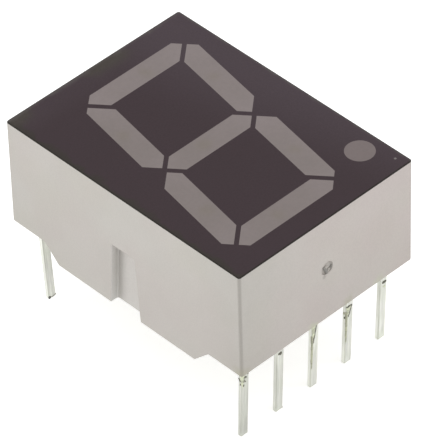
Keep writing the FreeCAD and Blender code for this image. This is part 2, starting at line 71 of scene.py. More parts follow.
camera_data = bpy.data.cameras.new("camera")
camera_data.lens = CAMERA_LENS
camera = bpy.data.objects.new("camera", camera_data)
bpy.context.scene.collection.objects.link(camera)
sight = (CAMERA_AIM - CAMERA_PLACE).to_track_quat("-Z", "Y")
camera.rotation_mode = "QUATERNION"
camera.rotation_quaternion = sight @ Quaternion((0, 0, 1), math.radians(CAMERA_ROLL))
camera.location = CAMERA_PLACE * MM
bpy.context.scene.camera = camera
bpy.context.scene.view_settings.view_transform = "Standard"


# The light: a white tent, with a weak soft box at each side of the display and one overhead.
# Camera, mirror and glass rays see the tent as plain white.
def add_node(tree, kind, inputs=None, **settings):
    """A shader node with its settings, and with each input linked or given its value."""
    node = tree.nodes.new(kind)
    for name, value in settings.items():
        setattr(node, name, value)
    for socket, value in (inputs or {}).items():
        if isinstance(value, bpy.types.NodeSocket):
            tree.links.new(value, node.inputs[socket])
        else:
            node.inputs[socket].default_value = value
    return node


def math_node(tree, operation, *values):
    """The result of one Math node."""
    return add_node(tree, "ShaderNodeMath", dict(enumerate(values)), operation=operation).outputs[0]


def seen_directly(tree, by_sight=1.0, reflected=1.0):
    """One value for rays that see the stage by sight, one in a mirror or through glass."""
    path = add_node(tree, "ShaderNodeLightPath").outputs
    sight = math_node(tree, "MULTIPLY", path["Is Camera Ray"], by_sight)
    indirect = math_node(tree, "MAXIMUM", path["Is Glossy Ray"], path["Is Transmission Ray"])
    return math_node(tree, "MAXIMUM", sight, math_node(tree, "MULTIPLY", indirect, reflected))


AMBIENT = 0.84
world = bpy.data.worlds.new("white_tent")
bpy.context.scene.world = world
world.use_nodes = True
tent = world.node_tree
tent.nodes.clear()
brightness = add_node(tent, "ShaderNodeMapRange", {
    "Value": seen_directly(tent),
    "To Min": AMBIENT,
    "To Max": 1.0,
})
background = add_node(tent, "ShaderNodeBackground", {
    "Color": (1.0, 1.0, 1.0, 1.0),
    "Strength": brightness.outputs[0],
})
add_node(tent, "ShaderNodeOutputWorld", {"Surface": background.outputs[0]})


def add_soft_box(name, place, size, power):
    """A square lamp that faces the middle of the display."""
    lamp_data = bpy.data.lights.new(name, "AREA")
    lamp_data.shape = "SQUARE"
    lamp_data.size = size * MM
    lamp_data.energy = power
    lamp = bpy.data.objects.new(name, lamp_data)
    bpy.context.scene.collection.objects.link(lamp)
    lamp.location = Vector(place) * MM
    lamp.rotation_euler = (-Vector(place)).to_track_quat("-Z", "Y").to_euler()


add_soft_box("soft_box_left", (-270, 270, 110), 160, 0.33)
add_soft_box("soft_box_right", (270, -270, 110), 160, 0.19)
add_soft_box("soft_box_top", (60, 90, 420), 240, 0.10)

# The floor: a white sheet under the tips of the leads. It glows where it is seen, so that it
# runs into the tent without an edge and still keeps the shadow.
FLOOR_SIZE = 1400
PAPER = (0.8, 0.8, 0.79, 1.0)
FLOOR_LIFT = 0.58
MIRRORED_LIFT = 0.42
sheet = bmesh.new()
bmesh.ops.create_grid(sheet, x_segments=1, y_segments=1, size=FLOOR_SIZE / 2 * MM)
bmesh.ops.translate(sheet, verts=sheet.verts, vec=(0, 0, cad_low[2]))
floor_mesh = bpy.data.meshes.new("floor")
sheet.to_mesh(floor_mesh)
sheet.free()
floor = bpy.data.objects.new("floor", floor_mesh)
bpy.context.scene.collection.objects.link(floor)
floor_material = bpy.data.materials.new("white_sheet")
floor_material.use_nodes = True
floor_tree = floor_material.node_tree
floor_tree.nodes.clear()
paper = add_node(floor_tree, "ShaderNodeBsdfDiffuse", {"Color": PAPER})
lift = seen_directly(floor_tree, FLOOR_LIFT, MIRRORED_LIFT)
glow = add_node(floor_tree, "ShaderNodeEmission", {"Strength": lift})
lit_paper = add_node(floor_tree, "ShaderNodeAddShader", {0: paper.outputs[0], 1: glow.outputs[0]})
add_node(floor_tree, "ShaderNodeOutputMaterial", {"Surface": lit_paper.outputs[0]})
floor_mesh.materials.append(floor_material)

# Reflector housing: one injection moulding of a pale filled plastic with a satin, finely
# eroded skin. Handling has greyed its near corner, and resin has stained its foot beside the
# legs. Painted shade darkens it towards the foot, on its rounded corners, in the back corners
# of its key slots and in the gate's recess. Painted light brightens the slots' walls and
# floors and the rim at the right of the gate's recess.
PALE = (0.578, 0.552, 0.514)
PINKISH = (0.588, 0.522, 0.500)
YELLOWISH = (0.570, 0.550, 0.485)
# A paler tone that paints light in the key slots and on the rim of the gate's recess
PAINTED_LIGHT = (0.860, 0.850, 0.830)
STAIN = (0.42, 0.40, 0.29)
PALE_STAIN = (0.56, 0.58, 0.43)
# Grime, also used as painted shade at the foot, on the corners, in the slots and in the gate
GRIME_AND_SHADE = (0.30, 0.28, 0.25)
DIRT = (0.47, 0.44, 0.40)
SKIN_GRAIN = 0.09
EDGE_SOFTNESS = 0.05
WELD = 0.001
FLAT = math.radians(0.5)
SHARP = math.radians(35)
body_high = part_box("reflector_housing")[1] / MM
HALF_WIDTH = body_high.x
HALF_LENGTH = body_high.y
NEAR_CORNER = (-HALF_WIDTH, -HALF_LENGTH, 0)
KEY_DEPTH = 0.5
GATE_DEPTH = 0.12
RIM_TOP = 1.4
# The key slot's walls are this far from its middle at its top, and spread by a share of the
# way down
SLOT_TOP = 4.2
SLOT_HALF_WIDTH = 0.82
SLOT_SPREAD = 0.0665
SLOT_FLOOR = HALF_WIDTH - KEY_DEPTH
ON_SURFACE = 0.04
GATE = (0, -HALF_LENGTH, 4.5)
SCUFF = (-0.24, -HALF_LENGTH, 4.02)
LIT_GATE_RIM = (0.32, -HALF_LENGTH + 0.05, 4.5)
# Each spread of a tone has the two places that it runs between, and its share at each
PINK_ACROSS = (-6.2, 2.0, 0.0, 0.65)
# Painted shade towards the foot and on the rounded corners
SHADE_UP_FROM_FOOT = (1.0, 7.0, 0.10, 0.0)
GRIME_FROM_CORNER = (0.0, 4.5, 0.14, 0.0)
SHADE_INTO_CORNERS = (-0.2, -0.08, 0.0, 0.4)
# Painted light on the slot walls and floors, and painted shade in the slots' back corners
SLOT_WALL_LIGHT_UP = (0.4, 2.4, 0.76, 0.58)
SHADE_FROM_NOOK = (0.02, 0.48, 0.34, 0.0)
SHADE_UP_NOOK = (0.2, 1.8, 0.7, 1.0)
BRUISE_FROM_GATE = (0.2, 0.65, 0.22, 0.0)
# Painted shade in the gate's recess, and painted light on the rim at its right
SHADE_FROM_GATE = (0.45, 0.5, 0.3, 0.0)
SHADE_INTO_GATE_WALL = (0.02 - HALF_LENGTH, 0.06 - HALF_LENGTH)
DARK_FROM_SCUFF = (0.08, 0.2, 0.5, 0.0)
LIGHT_FROM_LIT_GATE_RIM = (0.1, 0.26, 0.2, 0.0)
SLOT_FLOOR_LIGHT = 0.26


def new_material(name):
    material = bpy.data.materials.new(name)
    material.use_nodes = True
    material.node_tree.nodes.clear()
    return material, material.node_tree


def in_millimetres(tree):
    """The place on the object, in millimetres."""
    place = add_node(tree, "ShaderNodeTexCoord").outputs["Object"]
    scaled = add_node(tree, "ShaderNodeVectorMath", {0: place, "Scale": 1 / MM}, operation="SCALE")
    return scaled.outputs[0]


def ramp(tree, value, low, high, to_low=0.0, to_high=1.0):
    """A smooth step of a value from one level to another."""
    node = add_node(tree, "ShaderNodeMapRange", {
        "Value": value,
        "From Min": low,
        "From Max": high,
        "To Min": to_low,
        "To Max": to_high,
    }, interpolation_type="SMOOTHSTEP")
    return node.outputs[0]


def blend_colors(tree, share, first, second, blend_type="MIX"):
    """A mix of two colours, each a socket or a plain colour."""
    node = tree.nodes.new("ShaderNodeMix")
    node.data_type = "RGBA"
    node.blend_type = blend_type
    node.clamp_factor = True
    for place, value in ((0, share), (6, first), (7, second)):
        if isinstance(value, bpy.types.NodeSocket):
            tree.links.new(value, node.inputs[place])
        elif place == 0:
            node.inputs[place].default_value = value
        else:
            node.inputs[place].default_value = (*value, 1.0)
    return node.outputs[2]


def in_plan(tree, axes):
    """The place seen from above, with its height left out."""
    return add_node(tree, "ShaderNodeCombineXYZ", {0: axes[0], 1: axes[1]}).outputs[0]


def distance_to(tree, place, point):
    """How far a place is from a fixed point."""
    node = add_node(tree, "ShaderNodeVectorMath", {0: place, 1: point}, operation="DISTANCE")
    return node.outputs["Value"]


def new_group(name, inputs, outputs):
    """An empty node group, with its sockets given as a kind for each name."""
    group = bpy.data.node_groups.new(name, "ShaderNodeTree")
    for label, kind in inputs.items():
        group.interface.new_socket(label, in_out="INPUT", socket_type=f"NodeSocket{kind}")
    for label, kind in outputs.items():
        group.interface.new_socket(label, in_out="OUTPUT", socket_type=f"NodeSocket{kind}")
    return group, group.nodes.new("NodeGroupInput").outputs


def close_group(group, results):
    outlet = group.nodes.new("NodeGroupOutput")
    for label, socket in results.items():
        group.links.new(socket, outlet.inputs[label])


# Fine grain of a moulded, printed or cast skin
fine_grain, inlet = new_group(
    "fine_grain", {"Place": "Vector", "Grain size": "Float"}, {"Height": "Float", "Speckle": "Float"}
)
fineness = math_node(fine_grain, "DIVIDE", 1.0, inlet["Grain size"])
fine = add_node(fine_grain, "ShaderNodeTexNoise", {
    "Vector": inlet["Place"],
    "Scale": fineness,
    "Detail": 2.0,
    "Roughness": 0.6,
}).outputs[0]
coarse = add_node(fine_grain, "ShaderNodeTexNoise", {
    "Vector": inlet["Place"],
    "Scale": math_node(fine_grain, "MULTIPLY", fineness, 0.23),
    "Detail": 1.0,
}).outputs[0]
close_group(fine_grain, {
    "Height": math_node(fine_grain, "ADD", fine, coarse),
    "Speckle": ramp(fine_grain, fine, 0.32, 0.68),
})

# Soft patches of tone, a few millimetres wide
soft_patches, inlet = new_group(
    "soft_patches", {"Place": "Vector", "Patch size": "Float", "Shift": "Vector"}, {"Mask": "Float"}
)
shifted = add_node(soft_patches, "ShaderNodeVectorMath", {0: inlet["Place"], 1: inlet["Shift"]})
patches = add_node(soft_patches, "ShaderNodeTexNoise", {
    "Vector": shifted.outputs[0],
    "Scale": math_node(soft_patches, "DIVIDE", 1.0, inlet["Patch size"]),
    "Detail": 2.5,
    "Roughness": 0.5,
}).outputs[0]
close_group(soft_patches, {"Mask": ramp(soft_patches, patches, 0.36, 0.64)})

# Loose specks of dust or dirt, one in some of the cells
dust_specks, inlet = new_group(
    "dust_specks", {"Place": "Vector", "Spacing": "Float", "Share": "Float"}, {"Mask": "Float"}
)
cells = add_node(dust_specks, "ShaderNodeTexVoronoi", {
    "Vector": inlet["Place"],
    "Scale": math_node(dust_specks, "DIVIDE", 1.0, inlet["Spacing"]),
}).outputs
lot = add_node(dust_specks, "ShaderNodeSeparateColor", {0: cells["Color"]}).outputs
reach = math_node(dust_specks, "MULTIPLY_ADD", lot[1], 0.09, 0.03)
near = math_node(dust_specks, "LESS_THAN", cells["Distance"], reach)
drawn = math_node(dust_specks, "LESS_THAN", lot[0], inlet["Share"])
close_group(dust_specks, {"Mask": math_node(dust_specks, "MULTIPLY", near, drawn)})


def grain_of(tree, place, size):
    return add_node(tree, "ShaderNodeGroup", {
        "Place": place,
        "Grain size": size,
    }, node_tree=fine_grain).outputs


def patches_of(tree, place, size, shift):
    return add_node(tree, "ShaderNodeGroup", {
        "Place": place,
        "Patch size": size,
        "Shift": shift,
    }, node_tree=soft_patches).outputs[0]


def specks_of(tree, place, spacing, share):
    return add_node(tree, "ShaderNodeGroup", {
        "Place": place,
        "Spacing": spacing,
        "Share": share,
    }, node_tree=dust_specks).outputs[0]


def speckled(tree, tone, grain, darkest, brightest):
    """A tone that is darker and brighter with the grain."""
    spread = ramp(tree, grain["Speckle"], 0.0, 1.0, darkest, brightest)
    return blend_colors(tree, 1.0, tone, spread, "MULTIPLY")


def bumps(tree, height, depth):
    """A normal for a height from 0 to 1 that stands for so many millimetres."""
    return add_node(tree, "ShaderNodeBump", {
        "Strength": 0.5,
        "Distance": depth * MM,
        "Height": height,
    }).outputs[0]


def finish_material(tree, **inputs):
    """The Principled shader of a material, with its inputs named in plain letters."""
    shader = add_node(tree, "ShaderNodeBsdfPrincipled", {
        name.replace("_", " ").title().replace("Ior", "IOR"): value for name, value in inputs.items()
    })
    add_node(tree, "ShaderNodeOutputMaterial", {"Surface": shader.outputs[0]})


# Each stain has its middle, its reach, its strength and its colour
STAINS = [
    ((-6.2, -8.5, 1.05), 0.75, 0.5, STAIN),
    ((-1.1, -8.6, 1.1), 0.45, 0.7, PALE_STAIN),
    ((1.45, -8.6, 1.1), 0.6, 0.6, STAIN),
    ((3.75, -8.6, 1.05), 0.6, 0.45, PALE_STAIN),
]


def skin_tone(tree, place, axes):
    """The pale plastic, pinker to the right and yellower in patches, greyed by handling, with painted
    shade towards the foot and on the rounded corners.
    """
    pink = math_node(tree, "MULTIPLY_ADD", patches_of(tree, place, 5.0, (3, 1, 7)), 0.35,
                     ramp(tree, axes[0], *PINK_ACROSS))
    tone = blend_colors(tree, pink, PALE, PINKISH)
    yellow = math_node(tree, "MULTIPLY", patches_of(tree, place, 3.4, (11, 5, 2)), 0.3)
    tone = blend_colors(tree, yellow, tone, YELLOWISH)
    # Painted shade towards the foot, grey from handling at the near corner, most shade on the rounded
    # corners
    tone = blend_colors(tree, ramp(tree, axes[2], *SHADE_UP_FROM_FOOT), tone, GRIME_AND_SHADE)
    near_corner_share = ramp(tree, distance_to(tree, in_plan(tree, axes), NEAR_CORNER), *GRIME_FROM_CORNER)
    tone = blend_colors(tree, near_corner_share, tone, GRIME_AND_SHADE)
    width_left = math_node(tree, "SUBTRACT", math_node(tree, "ABSOLUTE", axes[0]), HALF_WIDTH)
    length_left = math_node(tree, "SUBTRACT", math_node(tree, "ABSOLUTE", axes[1]), HALF_LENGTH)
    corner = ramp(tree, math_node(tree, "MINIMUM", width_left, length_left), *SHADE_INTO_CORNERS)
    return blend_colors(tree, corner, tone, GRIME_AND_SHADE)


def light_and_shade_the_slots(tree, axes, tone):
    """Painted light on the walls and floors of the key slots, and painted shade in their back corners.
    """
    down = math_node(tree, "SUBTRACT", SLOT_TOP, axes[2])
    wall = math_node(tree, "MULTIPLY_ADD", down, SLOT_SPREAD, SLOT_HALF_WIDTH)
    off_wall = math_node(tree, "SUBTRACT", math_node(tree, "ABSOLUTE", axes[1]), wall)
    off_floor = math_node(tree, "SUBTRACT", math_node(tree, "ABSOLUTE", axes[0]), SLOT_FLOOR)
    inside = math_node(tree, "LESS_THAN", off_floor, KEY_DEPTH - 0.01)
    between = math_node(tree, "LESS_THAN", off_wall, 0.05)
    below = math_node(tree, "GREATER_THAN", down, 0.0)
    in_slot = math_node(tree, "MULTIPLY", inside, math_node(tree, "MULTIPLY", between, below))
    on_wall = math_node(tree, "COMPARE", off_wall, 0.0, ON_SURFACE)
    on_floor = math_node(tree, "COMPARE", off_floor, 0.0, ON_SURFACE)
    lit_wall = math_node(tree, "MULTIPLY", on_wall, ramp(tree, axes[2], *SLOT_WALL_LIGHT_UP))
    lit_floor = math_node(tree, "MULTIPLY", on_floor, SLOT_FLOOR_LIGHT)
    slot_light = math_node(tree, "MAXIMUM", lit_floor, lit_wall)
    tone = blend_colors(tree, math_node(tree, "MULTIPLY", slot_light, in_slot), tone, PAINTED_LIGHT)
    nook = add_node(tree, "ShaderNodeCombineXYZ", {0: off_floor, 1: off_wall}).outputs[0]
    near_nook = ramp(tree, distance_to(tree, nook, (0, 0, 0)), *SHADE_FROM_NOOK)
    nook_shade = math_node(tree, "MULTIPLY", near_nook, ramp(tree, axes[2], *SHADE_UP_NOOK))
    return blend_colors(tree, nook_shade, tone, GRIME_AND_SHADE)


def stain_the_foot(tree, place, ragged, tone):
    """Resin stains beside the legs."""
    for spot, reach, strength, color in STAINS:
        far = math_node(tree, "MULTIPLY_ADD", ragged, reach * 0.4, distance_to(tree, place, spot))
        tone = blend_colors(tree, ramp(tree, far, reach * 0.3, reach * 1.2, strength, 0.0), tone, color)
    return tone


def mark_the_gate(tree, place, axes, ragged, tone):
    """A faint bruise round the gate, painted shade in its recess, a dark tail at the lower left, and
    painted light on the rim at the recess's right.
    """
    bruised = math_node(tree, "MULTIPLY_ADD", ragged, 0.1, distance_to(tree, place, GATE))
    tone = blend_colors(tree, ramp(tree, bruised, *BRUISE_FROM_GATE), tone, GRIME_AND_SHADE)
    gate_shade = math_node(tree, "MULTIPLY", ramp(tree, bruised, *SHADE_FROM_GATE),
                        ramp(tree, axes[1], *SHADE_INTO_GATE_WALL))
    tone = blend_colors(tree, gate_shade, tone, GRIME_AND_SHADE)
    scuffed = math_node(tree, "MULTIPLY_ADD", ragged, 0.06, distance_to(tree, place, SCUFF))
    tone = blend_colors(tree, ramp(tree, scuffed, *DARK_FROM_SCUFF), tone, GRIME_AND_SHADE)
    rim_light = math_node(tree, "MULTIPLY_ADD", ragged, 0.05, distance_to(tree, place, LIT_GATE_RIM))
    return blend_colors(tree, ramp(tree, rim_light, *LIGHT_FROM_LIT_GATE_RIM), tone, PAINTED_LIGHT)


def make_housing_plastic():
    material, tree = new_material("moulded_plastic")
    place = in_millimetres(tree)
    grain = grain_of(tree, place, SKIN_GRAIN)
    axes = add_node(tree, "ShaderNodeSeparateXYZ", {0: place}).outputs
    ragged = patches_of(tree, place, 0.5, (2, 9, 4))
    tone = skin_tone(tree, place, axes)
    tone = light_and_shade_the_slots(tree, axes, tone)
    tone = stain_the_foot(tree, place, ragged, tone)
    tone = mark_the_gate(tree, place, axes, ragged, tone)
    tone = blend_colors(tree, specks_of(tree, place, 1.3, 0.03), tone, DIRT)
    finish_material(
        tree,
        base_color=speckled(tree, tone, grain, 0.98, 1.02),
        roughness=ramp(tree, patches_of(tree, place, 2.2, (5, 3, 8)), 0.0, 1.0, 0.42, 0.54),
        normal=bumps(tree, grain["Height"], 0.005),
    )
    return material


def whole_copy(node_name):
    """A bmesh of a CAD node with its triangles joined and its flat faces made whole."""
    shape = bmesh.new()
    shape.from_mesh(nodes[node_name].data)
    bmesh.ops.remove_doubles(shape, verts=shape.verts, dist=WELD * MM)
    bmesh.ops.dissolve_limit(shape, angle_limit=FLAT, verts=shape.verts, edges=shape.edges)
    return shape


def sharp_edges(shape, picked):
    """The sharp convex edges whose middle, in millimetres, the test picks."""
    return [
        edge for edge in shape.edges
        if edge.is_manifold and edge.is_convex and edge.calc_face_angle() > SHARP
        and picked((edge.verts[0].co + edge.verts[1].co) / 2 / MM)
    ]


def soften(shape, edges, radius, segments=2, material=-1):
    bmesh.ops.bevel(shape, geom=edges, offset=radius * MM, offset_type="OFFSET", affect="EDGES",
                    segments=segments, profile=0.5, material=material, clamp_overlap=True)


def make_piece(name, shape, materials, stands_for=None):
    """An object made of a bmesh, fixed to the display's one body."""
    mesh = bpy.data.meshes.new(name)
    shape.to_mesh(mesh)
    shape.free()
    for material in materials:
        mesh.materials.append(material)
    mesh.shade_smooth()
    mesh.set_sharp_from_angle(angle=SHARP)
    piece = bpy.data.objects.new(name, mesh)
    bpy.context.scene.collection.objects.link(piece)
    even = piece.modifiers.new("even_normals", "WEIGHTED_NORMAL")
    even.keep_sharp = True
    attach(piece, "root")
    if stands_for:
        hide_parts(stands_for)
    return piece


def on_outside(point):
    """On an outer wall, a key slot, the gate or the lower rims, and not at the face."""
    on_side = abs(point.x) > SLOT_FLOOR - 0.05
    on_end = abs(point.y) > HALF_LENGTH - GATE_DEPTH - 0.03
    return (on_side or on_end or point.z < RIM_TOP) and point.z < body_high.z - 0.1


moulded_plastic = make_housing_plastic()
moulding = whole_copy("reflector_housing")
soften(moulding, sharp_edges(moulding, on_outside), EDGE_SOFTNESS)
make_piece("housing_shell", moulding, [moulded_plastic], "reflector_housing")

# Gate scar: where the runner was twisted off the moulding. A torn stub of the same plastic
# stands in the round recess of the lower end wall, beside a tear in the form of a V. Its lips
# are bruised dark, and their dark colour also paints the shade in the tear.
# Bruised plastic, dark also as painted shade in the tear
BRUISED_AND_SHADED = (0.275, 0.262, 0.243)
GATE_FLOOR = -HALF_LENGTH + GATE_DEPTH
STUB_MIDDLE = (0.13, GATE_FLOOR, 4.25)
STUB_RADII = (0.08, 0.09, 0.16)
STUB_LEAN = math.radians(25)
# Each lip has its two ends on the wall, as places across and up, and its half width
LIPS = [
    ((-0.20, 4.62), (0.14, 4.02), 0.11),
    ((0.16, 4.22), (0.36, 4.48), 0.03),
]
LIP_HALF_THICKNESS = 0.06
LIP_RISE = 0.02
IN_LIP = 1
LUMP_GRAIN = 7
NOISE_SEED = 2


def make_dull(name, color, grain_size, roughness, metallic=0.0):
    """A finish that is one colour with a grain of its own."""
    contrast = 0.2
    material, tree = new_material(name)
    grain = grain_of(tree, in_millimetres(tree), grain_size)
    finish_material(
        tree,
        base_color=speckled(tree, color, grain, 1 - contrast, 1 + contrast),
        metallic=metallic,
        roughness=roughness,
        normal=bumps(tree, grain["Height"], grain_size / 8),
    )
    return material


def add_lump(shape, divisions, radii, middle, turn, roughness, seed):
    """A ragged lump, stretched by its radii and then turned about the line out of the wall."""
    turned = Matrix.Rotation(turn, 4, "Y") @ Matrix.Diagonal((*radii, 1))
    matrix = Matrix.Translation(Vector(middle) * MM) @ turned
    verts = bmesh.ops.create_icosphere(shape, subdivisions=divisions, radius=MM, matrix=matrix)["verts"]
    for vertex in verts:
        place = vertex.co / MM * LUMP_GRAIN + Vector((seed, 0, 0))
        vertex.co += noise.noise_vector(place) * roughness * MM
    return verts


# Without a seed of its own, the noise differs from run to run
noise.seed_set(NOISE_SEED)
scar = bmesh.new()
add_lump(scar, 3, STUB_RADII, STUB_MIDDLE, STUB_LEAN, 0.03, 3)
for seed, (start, end, half_width) in enumerate(LIPS):
    across, up = end[0] - start[0], end[1] - start[1]
    radii = (math.hypot(across, up) / 2, LIP_HALF_THICKNESS, half_width)
    middle = ((start[0] + end[0]) / 2, GATE_FLOOR - LIP_RISE, (start[1] + end[1]) / 2)
    lip = add_lump(scar, 3, radii, middle, -math.atan2(up, across), 0.035, seed)
    for face in {face for vertex in lip for face in vertex.link_faces}:
        face.material_index = IN_LIP
scar_materials = [moulded_plastic, make_dull("bruised_and_shaded_plastic", BRUISED_AND_SHADED, 0.05, 0.6)]
make_piece("gate_scar", scar, scar_materials)

# Face layer: a dark ink printed over the face in one pass, dull and slightly uneven. It is
# paler to the right and at the top, and olive along the left edge and in patches at the top.
# Its top and right edges are rubbed paler, with a painted highlight, and its near lips are
# painted darker with shade.
INK = (0.0335, 0.0185, 0.0230)
PALER_INK = (0.0560, 0.0385, 0.0470)
EDGE_INK = (0.0275, 0.0220, 0.0160)
OLIVE_INK = (0.048, 0.040, 0.031)
# Rubbed ink with a painted highlight, for the two far edges
RUBBED_AND_LIT_INK = (0.084, 0.074, 0.070)
# Thick dark ink on the near lips, darkened further as painted shade on their rounding
INK_LIP_AND_SHADE = (0.010, 0.008, 0.004)
INK_DUST = (0.10, 0.09, 0.085)
PALE_DUST = (0.4, 0.38, 0.36)
PALE_SPECK = (5.71, -7.88, 7.9)
# Each olive patch at the top edge has its middle and its reach
OLIVE_PATCHES = [
    ((-5.7, 8.5, 7.9), 1.7),
    ((0.6, 8.5, 7.9), 2.2),
]
# Each spread of a tone has the two distances that it runs between, and its share at each
PALER_INK_ACROSS = (0.5, 6.5, 0.0, 0.85)
PALER_INK_FROM_TOP = (0.0, 2.6, 0.45, 0.0)
OLIVE_FROM_LEFT = (0.3, 1.2, 0.8, 0.0)
OLIVE_FROM_TOP = (0.3, 1.3, 0.85, 0.0)
RUBBED_AND_LIT_FROM_FAR_EDGES = (0.05, 0.42, 0.75, 0.0)
LIP_AND_SHADE_FROM_NEAR_EDGES = (0.03, 0.1, 0.8, 0.0)
PALE_FROM_SPECK = (0.05, 0.12, 0.45, 0.0)
INK_EDGE_SOFTNESS = 0.025


def make_ink():
    material, tree = new_material("face_ink")
    place = in_millimetres(tree)
    grain = grain_of(tree, place, 0.11)
    axes = add_node(tree, "ShaderNodeSeparateXYZ", {0: place}).outputs
    cloudy = patches_of(tree, place, 4.0, (1, 4, 0))
    ragged = patches_of(tree, place, 0.9, (7, 2, 5))
    from_left = math_node(tree, "ADD", axes[0], HALF_WIDTH)
    from_right = math_node(tree, "SUBTRACT", HALF_WIDTH, axes[0])
    from_foot = math_node(tree, "ADD", axes[1], HALF_LENGTH)
    from_top = math_node(tree, "SUBTRACT", HALF_LENGTH, axes[1])
    # Paler along the right side and the top
    along = math_node(tree, "MULTIPLY_ADD", axes[1], 0.25, axes[0])
    paler_share = math_node(tree, "MULTIPLY_ADD", cloudy, 0.12, ramp(tree, along, *PALER_INK_ACROSS))
    paler_share = math_node(tree, "MAXIMUM", paler_share, ramp(tree, from_top, *PALER_INK_FROM_TOP))
    tone = blend_colors(tree, paler_share, INK, PALER_INK)
    # Olive along the left edge, with a ragged inner border, and in patches at the top
    worn = math_node(tree, "DIVIDE", from_left, math_node(tree, "MULTIPLY_ADD", ragged, 0.4, 0.15))
    tone = blend_colors(tree, ramp(tree, worn, *OLIVE_FROM_LEFT), tone, EDGE_INK)
    for middle, reach in OLIVE_PATCHES:
        far = math_node(tree, "MULTIPLY_ADD", ragged, reach * 0.2, distance_to(tree, place, middle))
        share = math_node(tree, "MULTIPLY", ramp(tree, far, reach * 0.4, reach, 1.0, 0.0),
                          ramp(tree, from_top, *OLIVE_FROM_TOP))
        tone = blend_colors(tree, share, tone, OLIVE_INK)
    # Far edges rubbed paler with a painted highlight; near lips thick and painted dark with shade
    far_edge = math_node(tree, "MINIMUM", from_top, math_node(tree, "MULTIPLY", from_right, 1.5))
    rubbed_and_lit = math_node(tree, "MULTIPLY_ADD", ragged, 0.15, far_edge)
    tone = blend_colors(tree, ramp(tree, rubbed_and_lit, *RUBBED_AND_LIT_FROM_FAR_EDGES), tone, RUBBED_AND_LIT_INK)
    near_edge = math_node(tree, "MINIMUM", from_left, from_foot)
    tone = blend_colors(tree, ramp(tree, near_edge, *LIP_AND_SHADE_FROM_NEAR_EDGES), tone, INK_LIP_AND_SHADE)
    # Dust in the ink, and one pale speck by the point
    tone = blend_colors(tree, specks_of(tree, place, 1.5, 0.02), tone, INK_DUST)
    mark = math_node(tree, "MULTIPLY_ADD", ragged, 0.04, distance_to(tree, place, PALE_SPECK))
    tone = blend_colors(tree, ramp(tree, mark, *PALE_FROM_SPECK), tone, PALE_DUST)
    finish_material(
        tree,
        base_color=speckled(tree, tone, grain, 0.95, 1.05),
        roughness=ramp(tree, cloudy, 0.0, 1.0, 0.54, 0.58),
        specular_ior_level=0.25,
        normal=bumps(tree, grain["Height"], 0.005),
    )
    return material


def on_outer_lip(point):
    """On the ink's upper rim, and not at an opening for a light pipe."""
    outer = abs(point.x) > HALF_WIDTH - 0.2 or abs(point.y) > HALF_LENGTH - 0.2
    return outer and point.z > body_high.z + 0.03


ink_layer = whole_copy("face_mask")
soften(ink_layer, sharp_edges(ink_layer, on_outer_lip), INK_EDGE_SOFTNESS)
make_piece("face_ink_layer", ink_layer, [make_ink()], "face_mask")

# Light pipes: clear epoxy with a little diffuser, cast into the funnels and flush with the
# ink. The chip shows through as a faint warm spot, and the ends look paler and pinker.
PIPE = (0.188, 0.156, 0.147)
PIPE_END = (0.232, 0.192, 0.190)
CHIP_SHADE = (0.180, 0.150, 0.122)
DEEP_PIPE = (0.155, 0.121, 0.118)
PIPE_DUST = (0.14, 0.12, 0.11)
# Each spread of a tone has the two distances that it runs between, and its share at each
PALER_ACROSS = (-3.0, 5.0, 0.0, 0.3)
PALER_FROM_MIDDLE = (1.2, 3.2, 0.0, 0.3)
SHADE_FROM_CHIP = (0.15, 0.75, 0.5, 0.0)
DEEP_FROM_POINT = (1.0, 1.3, 0.9, 0.0)
PIPES = [name for name in nodes if name.startswith("segment_")] + ["decimal_point"]


def nearest_of(tree, place, points):
    """The distance to the nearest of some fixed points."""
    distances = [distance_to(tree, place, point) for point in points]
    nearest = distances[0]
    for distance in distances[1:]:
        nearest = math_node(tree, "MINIMUM", nearest, distance)
    return nearest


def seen_on_face(node_name):
    """The middle of a node, seen on the face."""
    low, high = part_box(node_name)
    middle = (low + high) / 2 / MM
    middle.z = cad_high[2] / MM
    return middle


def make_pipe_epoxy():
    material, tree = new_material("cast_epoxy")
    place = in_millimetres(tree)
    chips = [seen_on_face(name) for name in nodes if name.startswith("chip_")]
    middles = [seen_on_face(name) for name in PIPES]
    grain = grain_of(tree, place, 0.2)
    cloudy = patches_of(tree, place, 1.7, (4, 8, 1))
    axes = add_node(tree, "ShaderNodeSeparateXYZ", {0: place}).outputs
    across = math_node(tree, "MULTIPLY_ADD", axes[1], 0.5, axes[0])
    paler = math_node(tree, "MULTIPLY_ADD", cloudy, 0.2, ramp(tree, across, *PALER_ACROSS))
    ends = ramp(tree, nearest_of(tree, place, middles), *PALER_FROM_MIDDLE)
    tone = blend_colors(tree, math_node(tree, "ADD", paler, ends), PIPE, PIPE_END)
    shade = math_node(tree, "MULTIPLY_ADD", cloudy, 0.2, nearest_of(tree, place, chips))
    tone = blend_colors(tree, ramp(tree, shade, *SHADE_FROM_CHIP), tone, CHIP_SHADE)
    # The point's round pipe is the narrowest, and sends the least light back
    off_point = distance_to(tree, place, seen_on_face("decimal_point"))
    tone = blend_colors(tree, ramp(tree, off_point, *DEEP_FROM_POINT), tone, DEEP_PIPE)
    tone = blend_colors(tree, specks_of(tree, place, 1.2, 0.03), tone, PIPE_DUST)
    finish_material(
        tree,
        base_color=speckled(tree, tone, grain, 0.98, 1.02),
        roughness=ramp(tree, cloudy, 0.0, 1.0, 0.34, 0.44),
        normal=bumps(tree, grain["Height"], 0.004),
    )
    return material


def dress(node_name, material):
    """Gives a CAD node its finish."""
    mesh = nodes[node_name].data
    mesh.materials.clear()
    mesh.materials.append(material)


cast_epoxy = make_pipe_epoxy()
for name in PIPES:
    dress(name, cast_epoxy)

